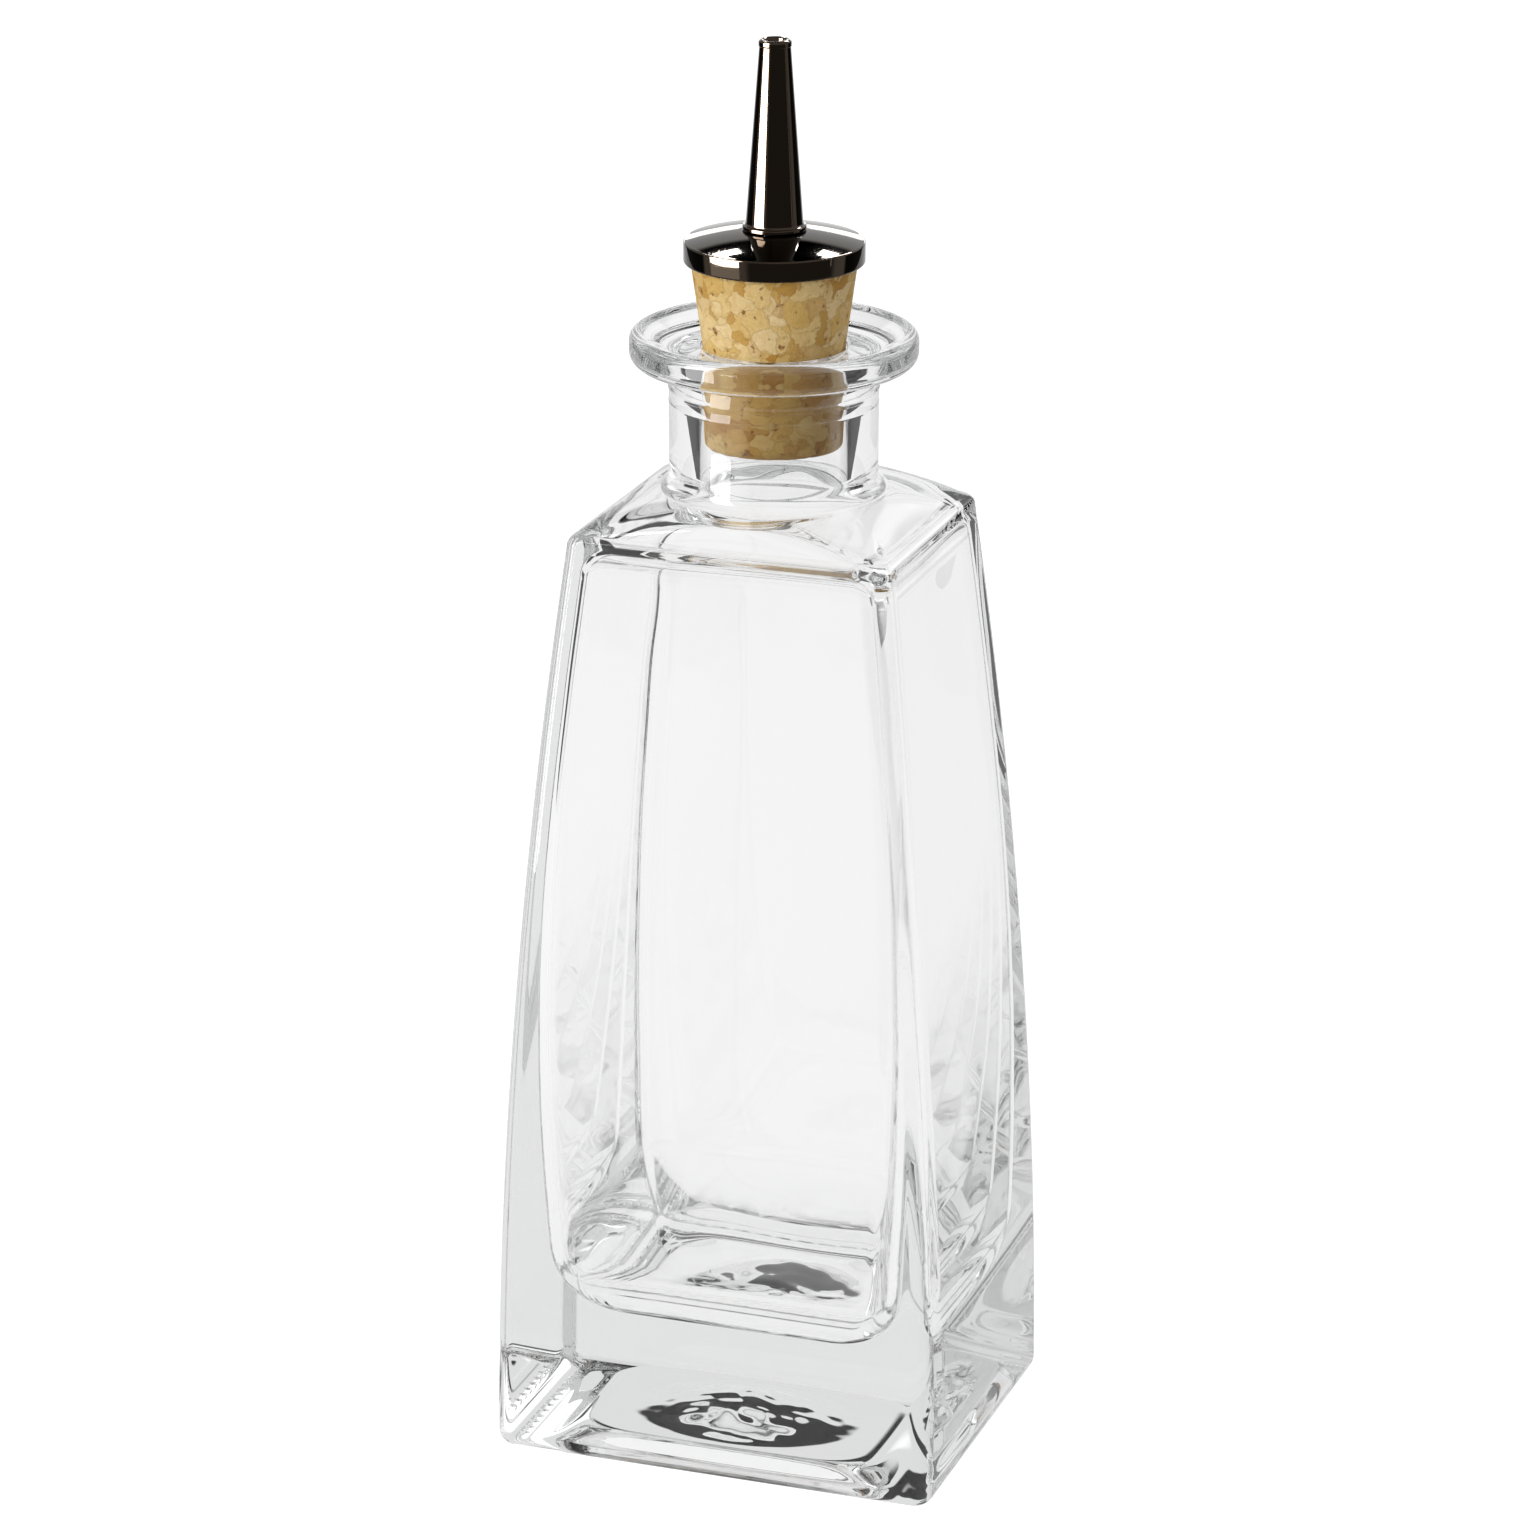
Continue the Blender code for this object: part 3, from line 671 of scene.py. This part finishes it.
cork_outline += straight(cork_mouth, tip_edge[0], CORK_BORE_LEVELS) + tip_edge[1:]
cork_outline += straight(tip_edge[-1], (STEM_HOLE, CORK_BOTTOM), CORK_TIP_RINGS)
cork_outline.append((STEM_HOLE, collar_seat))
cork = turned("cork_stopper_granules", cork_outline, CORK_COLUMNS, pressed_cork(), sanded)
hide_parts("cork_stopper")
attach(cork, "stopper")

# The stem: a drawn stainless tube that carries the drink through the cork into the spout. A
# collar under the cap and a barb below the cork hold the stopper together.

STEM_BORE = 3.2 * MM
STEM_BARB_WIDTH = 6.6 * MM
STEM_BARB_HEIGHT = 0.9 * MM
STEM_END = 0.3 * MM
STEM_COLUMNS = 64
CAP_RIM = 3.0 * MM
CAP_WIDTH = 26.0 * MM
CAP_DOME = 1.9 * MM
SPOUT_FLANGE_WIDTH = 9.2 * MM
SPOUT_SOCKET = 5.0 * MM

# The lines of the die are nearer 0.05 mm. They are drawn coarser, so that a render can show them.
DRAWN_LINE = 0.2 * MM
DRAWN_LINE_DEPTH = 0.002 * MM
DRAWN_STRETCH = 0.04

SPOUT_SEAT_REACH = SPOUT_FLANGE_WIDTH / 2 + FIT_GAP


def dome_height(reach):
    """Height of the cap's domed top, at a distance from the axis."""
    return CAP_BOTTOM + CAP_RIM + CAP_DOME * (1 - (2 * reach / CAP_WIDTH) ** 2)


SPOUT_BOTTOM = dome_height(SPOUT_SEAT_REACH) + FIT_GAP


def drawn_steel():
    """Stainless steel tube, drawn through a die: bright, with lines along it that blur its glints."""
    material, tree = new_material("drawn_stainless_steel")
    place = add_node(tree, "TexCoord").outputs["Object"]
    stretch = add_node(tree, "VectorMath", {0: place}, operation="MULTIPLY")
    stretch.inputs[1].default_value = (1.0, 1.0, DRAWN_STRETCH)
    line = add_node(
        tree, "TexNoise", {"Vector": stretch.outputs[0]}, Scale=1 / DRAWN_LINE, Detail=3.0,
    )
    rough = add_node(tree, "MapRange", {"Value": line.outputs["Fac"]}, To_Min=0.12, To_Max=0.32)
    bump = add_node(tree, "Bump", {"Height": line.outputs["Fac"]}, Distance=DRAWN_LINE_DEPTH)
    steel = add_node(
        tree, "BsdfPrincipled", {"Roughness": rough.outputs[0], "Normal": bump.outputs[0]},
        Base_Color=srgb("C5C3BF"), Metallic=1.0,
    )
    add_node(tree, "OutputMaterial", {"Surface": steel.outputs[0]})
    return material


stem_top = SPOUT_BOTTOM + SPOUT_SOCKET - FIT_GAP
collar_bottom = CORK_TOP - STEM_COLLAR_HEIGHT
barb_top = CORK_BOTTOM - FIT_GAP
barb_bottom = barb_top - STEM_BARB_HEIGHT
stem_outline = [
    (STEM_BORE / 2, stem_top),
    (STEM_WIDTH / 2, stem_top),
    (STEM_WIDTH / 2, CORK_TOP),
    (STEM_COLLAR_WIDTH / 2, CORK_TOP),
    (STEM_COLLAR_WIDTH / 2, collar_bottom),
    (STEM_WIDTH / 2, collar_bottom),
    (STEM_WIDTH / 2, barb_top),
    (STEM_BARB_WIDTH / 2, barb_top),
    (STEM_WIDTH / 2, barb_bottom),
    (STEM_WIDTH / 2, barb_bottom - STEM_END),
    (STEM_BORE / 2, barb_bottom - STEM_END),
]
stem = turned("pourer_stem_tube", stem_outline, STEM_COLUMNS, drawn_steel())
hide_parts("pourer_stem")
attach(stem, "pourer")

# The cap: a brass disc, turned with a low dome and a short rim, buffed and plated with black
# nickel. It covers the cork's head, and the stem passes through its middle.

CAP_RIM_WALL = 0.7 * MM
CAP_EDGE = 0.3 * MM
CAP_EDGE_START = 74
CAP_EDGE_STEPS = 6
CAP_DOME_LEVELS = 30
CAP_COLUMNS = 192

# Pits in plating are nearer 0.1 mm. They are drawn coarser, so that a render can show them.
BUFFING_WAVE = 2.4 * MM
PLATING_PIT = 0.5 * MM
PLATING_RELIEF = 0.003 * MM


def black_nickel():
    """Brass, buffed and plated with black nickel: a dark mirror with soft waves and tiny pits."""
    material, tree = new_material("buffed_brass_plated_black_nickel")
    place = add_node(tree, "TexCoord").outputs["Object"]
    wave = add_node(tree, "TexNoise", {"Vector": place}, Scale=1 / BUFFING_WAVE, Detail=1.0)
    pit = add_node(tree, "TexNoise", {"Vector": place}, Scale=1 / PLATING_PIT, Detail=2.0)
    pitted = add_node(
        tree, "MapRange", {"Value": pit.outputs["Fac"]}, From_Min=0.66, From_Max=0.74,
        To_Min=0.0, To_Max=0.5,
    )
    height = add_node(
        tree, "Math", {0: wave.outputs["Fac"], 1: pitted.outputs[0]}, operation="SUBTRACT",
    )
    bump = add_node(tree, "Bump", {"Height": height.outputs[0]}, Distance=PLATING_RELIEF)
    rough = add_node(tree, "MapRange", {"Value": wave.outputs["Fac"]}, To_Min=0.02, To_Max=0.07)
    metal = add_node(
        tree, "BsdfPrincipled", {"Roughness": rough.outputs[0], "Normal": bump.outputs[0]},
        Base_Color=srgb("3A322A"), Metallic=1.0,
    )
    add_node(tree, "OutputMaterial", {"Surface": metal.outputs[0]})
    return material


plated = black_nickel()
dome_edge = CAP_WIDTH / 2 - CAP_EDGE
cap_outline = [(STEM_HOLE, dome_height(SPOUT_SEAT_REACH))]
for i in range(CAP_DOME_LEVELS + 1):
    reach = SPOUT_SEAT_REACH + (dome_edge - SPOUT_SEAT_REACH) * i / CAP_DOME_LEVELS
    cap_outline.append((reach, dome_height(reach)))
rim_top = dome_height(dome_edge) - CAP_EDGE
cap_outline += arc(dome_edge, rim_top, CAP_EDGE, CAP_EDGE_START, 0, CAP_EDGE_STEPS)
cap_outline += arc(dome_edge, CAP_BOTTOM + CAP_EDGE, CAP_EDGE, 0, -90, CAP_EDGE_STEPS)
socket_reach = CAP_WIDTH / 2 - CAP_RIM_WALL
cap_outline.append((socket_reach, CAP_BOTTOM))
cap_outline.append((socket_reach, CAP_BOTTOM + CAP_SOCKET))
cap_outline.append((STEM_HOLE, CAP_BOTTOM + CAP_SOCKET))
cap = turned("pourer_cap_dome", cap_outline, CAP_COLUMNS, plated)
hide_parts("pourer_cap")
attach(cap, "pourer")

# The spout: a tapered brass tube with a thin flange at its foot and a fine ring at its tip,
# plated with the cap. It is pressed over the stem and stands on the dome.

SPOUT_HEIGHT = 27.2 * MM
SPOUT_FOOT_WIDTH = 8.2 * MM
SPOUT_TIP_WIDTH = 4.5 * MM
SPOUT_TIP_BORE = 2.8 * MM
SPOUT_FLANGE = 0.5 * MM
SPOUT_FLANGE_ROUND = 0.2 * MM
SPOUT_FILLET = 0.4 * MM
SPOUT_RING = 0.9 * MM
SPOUT_RING_REACH = 0.1 * MM
SPOUT_TIP_START = 160
SPOUT_TIP_STEPS = 14
SPOUT_EDGE_STEPS = 5
SPOUT_FILLET_STEPS = 8
SPOUT_SIDE_LEVELS = 40
SPOUT_BORE_LEVELS = 10
SPOUT_COLUMNS = 96

spout_top = SPOUT_BOTTOM + SPOUT_HEIGHT
spout_tip = SPOUT_TIP_WIDTH / 2
tip_round = (SPOUT_TIP_WIDTH - SPOUT_TIP_BORE) / 4
tip_reach = spout_tip + SPOUT_RING_REACH - tip_round
spout_outline = arc(
    tip_reach, spout_top - tip_round, tip_round, SPOUT_TIP_START, 0, SPOUT_TIP_STEPS,
)
spout_outline += arc(
    spout_tip, spout_top - SPOUT_RING, SPOUT_RING_REACH, 0, -90, SPOUT_EDGE_STEPS,
)
flange_top = SPOUT_BOTTOM + SPOUT_FLANGE
fillet = arc(
    SPOUT_FOOT_WIDTH / 2 + SPOUT_FILLET, flange_top + SPOUT_FILLET, SPOUT_FILLET, 180, 270,
    SPOUT_FILLET_STEPS,
)
spout_outline += straight(spout_outline[-1], fillet[0], SPOUT_SIDE_LEVELS) + fillet[1:]
flange_round = SPOUT_FLANGE_ROUND
flange_reach = SPOUT_FLANGE_WIDTH / 2 - flange_round
spout_outline += arc(
    flange_reach, flange_top - flange_round, flange_round, 90, 0, SPOUT_EDGE_STEPS,
)
socket_top = SPOUT_BOTTOM + SPOUT_SOCKET
spout_outline.append((SPOUT_FLANGE_WIDTH / 2, SPOUT_BOTTOM))
spout_outline.append((STEM_HOLE, SPOUT_BOTTOM))
spout_outline.append((STEM_HOLE, socket_top))
spout_outline.append((STEM_BORE / 2, socket_top))
bore_top = (SPOUT_TIP_BORE / 2, spout_outline[0][1])
spout_outline += straight(spout_outline[-1], bore_top, SPOUT_BORE_LEVELS)[:-1]
spout = turned("pourer_spout_taper", spout_outline, SPOUT_COLUMNS, plated)
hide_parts("pourer_spout")
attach(spout, "pourer")

# The studio: a white table under a white surround. Dark flags high behind, low in front and low
# at the sides give the clear glass its grey edges, and soft boxes draw the glints on the metal.
# Bearings are degrees right of straight ahead, as the camera looks.

CAMERA_AZIMUTH = 19.14
CAMERA_PITCH = 18.86
CAMERA_ROLL = 0.19
CAMERA_DISTANCE = 891.4 * MM
AIM_ASIDE = -0.67 * MM
AIM_HEIGHT = 102.64 * MM
FOCAL_PIXELS = 6081.2
FRAME_PIXELS = 1536
LIGHT_BOUNCES = 24

# The table lies a hair below the foot. It is white to the camera, and greyer in what glass and
# metal show of it, as a table is that runs out of the light.
TABLE_HALF_WIDTH = 480 * MM
TABLE_FRONT = 160 * MM
TABLE_BACK = 1300 * MM
TABLE_DROP = 0.1 * MM
TABLE_DIFFUSE = 0.2
TABLE_IN_GLASS = 0.8
TABLE_MIRRORED = 0.6

# Strength of the surround: in the glass and metal, on matt surfaces, and as the camera sees it
SURROUND = 0.9
SURROUND_ON_MATT = 0.5
SURROUND_SEEN = 1.0

# Flags, as bearings, rises and softness of the edge in degrees, and the strength they take away.
# The one that takes away less than nothing is a brighter patch at the right.
FLAGS = (
    ((-34, 22), (27, 95), 2, 0.9),
    ((32, 80), (-32, 6), 3, 0.86),
    ((-80, -32), (-32, 6), 3, 0.86),
    ((38, 90), (9, 27), 3, -0.7),
    ((100, 200), (-70, 5), 5, 0.7),
    ((-200, -145), (-70, 5), 5, 0.7),
    ((-170, -140), (20, 70), 6, 0.3),
)

table_mesh = bpy.data.meshes.new("table")
table_corners = [
    (-TABLE_HALF_WIDTH, -TABLE_FRONT, 0.0), (TABLE_HALF_WIDTH, -TABLE_FRONT, 0.0),
    (TABLE_HALF_WIDTH, TABLE_BACK, 0.0), (-TABLE_HALF_WIDTH, TABLE_BACK, 0.0),
]
table_mesh.from_pydata(table_corners, [], [(0, 1, 2, 3)])
table = bpy.data.objects.new("table", table_mesh)
table.location.z = -TABLE_DROP
table.rotation_euler.z = math.radians(CAMERA_AZIMUTH)
bpy.context.scene.collection.objects.link(table)

# White laminate, evenly lit. A ray that has passed through glass counts as glossy as well, so
# only the difference between the two strengths is added for it.
laminate, table_tree = new_material("white_table_laminate")
matt = add_node(table_tree, "BsdfDiffuse", Color=(TABLE_DIFFUSE, TABLE_DIFFUSE, TABLE_DIFFUSE, 1))
table_path = add_node(table_tree, "LightPath")
strength = table_path.outputs["Is Camera Ray"]
for rays, gain in (
    ("Is Transmission Ray", TABLE_IN_GLASS - TABLE_MIRRORED),
    ("Is Glossy Ray", TABLE_MIRRORED),
):
    gained = add_node(
        table_tree, "Math", {0: table_path.outputs[rays], 2: strength}, operation="MULTIPLY_ADD",
    )
    gained.inputs[1].default_value = gain
    strength = gained.outputs[0]
lit = add_node(table_tree, "Emission", {"Strength": strength}, Color=(1, 1, 1, 1))
both = add_node(table_tree, "AddShader", {0: lit.outputs[0], 1: matt.outputs[0]})
add_node(table_tree, "OutputMaterial", {"Surface": both.outputs[0]})
table_mesh.materials.append(laminate)

world = bpy.data.worlds.new("studio")
bpy.context.scene.world = world
world.use_nodes = True
sky_tree = world.node_tree
sky_tree.nodes.clear()
outward = add_node(sky_tree, "TexCoord").outputs["Generated"]
outlook = add_node(
    sky_tree, "VectorRotate", {"Vector": outward}, rotation_type="Z_AXIS",
    Angle=math.radians(-CAMERA_AZIMUTH),
)
axes = add_node(sky_tree, "SeparateXYZ", {0: outlook.outputs[0]})
bearing = add_node(
    sky_tree, "Math", {0: axes.outputs["X"], 1: axes.outputs["Y"]}, operation="ARCTAN2",
)
rise = add_node(sky_tree, "Math", {0: axes.outputs["Z"]}, operation="ARCSINE")
light = None
for (left, right), (lowest, highest), soft, taken in FLAGS:
    edges = [
        add_node(
            sky_tree, "MapRange", {"Value": angle.outputs[0]}, interpolation_type="SMOOTHSTEP",
            From_Min=math.radians(start), From_Max=math.radians(end),
        ).outputs[0]
        for angle, start, end in (
            (bearing, left - soft, left + soft), (bearing, right + soft, right - soft),
            (rise, lowest - soft, lowest + soft), (rise, highest + soft, highest - soft),
        )
    ]
    flag = edges[0]
    for edge in edges[1:]:
        flag = add_node(sky_tree, "Math", {0: flag, 1: edge}, operation="MULTIPLY").outputs[0]
    dimmed = add_node(sky_tree, "Math", {0: flag}, operation="MULTIPLY_ADD")
    dimmed.inputs[1].default_value = -taken
    dimmed.inputs[2].default_value = SURROUND
    if light:
        sky_tree.links.new(light, dimmed.inputs[2])
    light = dimmed.outputs[0]
sky_path = add_node(sky_tree, "LightPath")
for rays, level in (("Is Diffuse Ray", SURROUND_ON_MATT), ("Is Camera Ray", SURROUND_SEEN)):
    choice = add_node(
        sky_tree, "Mix", {0: sky_path.outputs[rays], 2: light}, data_type="FLOAT",
    )
    choice.inputs[3].default_value = level
    light = choice.outputs[0]
sky = add_node(sky_tree, "Background", {"Strength": light}, Color=(1, 1, 1, 1))
add_node(sky_tree, "OutputWorld", {"Surface": sky.outputs[0]})

# Most lamps light only some pieces: the exposure is fixed, and the black metal needs far more
# light than the clear glass can take.
glazed = bpy.data.collections.new("glazed")
glazed.objects.link(glass_skin)
plated_pieces = bpy.data.collections.new("plated_pieces")
for piece in (cap, spout):
    plated_pieces.objects.link(piece)


def soft_box(name, bearing, height, size, distance, radiance, pieces=None):
    """A soft box that faces the bottle's axis from a bearing in degrees. Lengths are in mm."""
    lamp = bpy.data.lights.new(name, "AREA")
    lamp.shape = "RECTANGLE"
    lamp.size, lamp.size_y = (side * MM for side in size)
    lamp.energy = radiance * math.pi * lamp.size * lamp.size_y
    box = bpy.data.objects.new(name, lamp)
    bpy.context.scene.collection.objects.link(box)
    turn = Matrix.Rotation(math.radians(CAMERA_AZIMUTH - bearing), 4, "Z")
    out = Matrix.Translation((0.0, distance * MM, height * MM))
    box.matrix_world = turn @ out @ Matrix.Rotation(math.radians(-90), 4, "X")
    box.visible_camera = False
    box.visible_transmission = False
    if pieces:
        box.visible_diffuse = False
        box.light_linking.receiver_collection = pieces
    else:
        box.visible_glossy = False


soft_box("left_box", -114, 330, (350, 500), 450, 90.0, plated_pieces)
soft_box("left_glow", -114, 40, (350, 80), 450, 2.0, plated_pieces)
soft_box("left_box_in_glass", -120, 290, (200, 580), 450, 7.0, glazed)
soft_box("right_strip", 105, 300, (14, 560), 700, 3.0, plated_pieces)
soft_box("back_lamp_left", -13, 810, (170, 90), 850, 80.0, plated_pieces)
soft_box("back_lamp_right", 24, 810, (440, 110), 850, 80.0, plated_pieces)
soft_box("back_glow", 0, 320, (700, 120), 900, 3.0, plated_pieces)
soft_box("key", -125, 500, (600, 600), 900, 5.5)

camera = bpy.data.cameras.new("camera")
camera.sensor_width = 36.0
camera.lens = FOCAL_PIXELS / FRAME_PIXELS * camera.sensor_width
camera.clip_start = 0.05
camera.clip_end = 50.0
eye = bpy.data.objects.new("camera", camera)
bpy.context.scene.collection.objects.link(eye)
turn = Matrix.Rotation(math.radians(CAMERA_AZIMUTH), 4, "Z")
tilt = Matrix.Rotation(math.radians(90 - CAMERA_PITCH), 4, "X")
roll = Matrix.Rotation(math.radians(CAMERA_ROLL), 4, "Z")
aim = Matrix.Translation((AIM_ASIDE, 0.0, AIM_HEIGHT))
back = Matrix.Translation((0.0, 0.0, CAMERA_DISTANCE))
eye.matrix_world = turn @ aim @ tilt @ back @ roll
bpy.context.scene.camera = eye
bpy.context.scene.view_settings.view_transform = "Standard"

# Light caught in the thick foot turns many times before it comes out. Cut short, it would leave
# black bands that clear glass doesn't have.
paths = bpy.context.scene.cycles
paths.max_bounces = paths.glossy_bounces = paths.transmission_bounces = LIGHT_BOUNCES
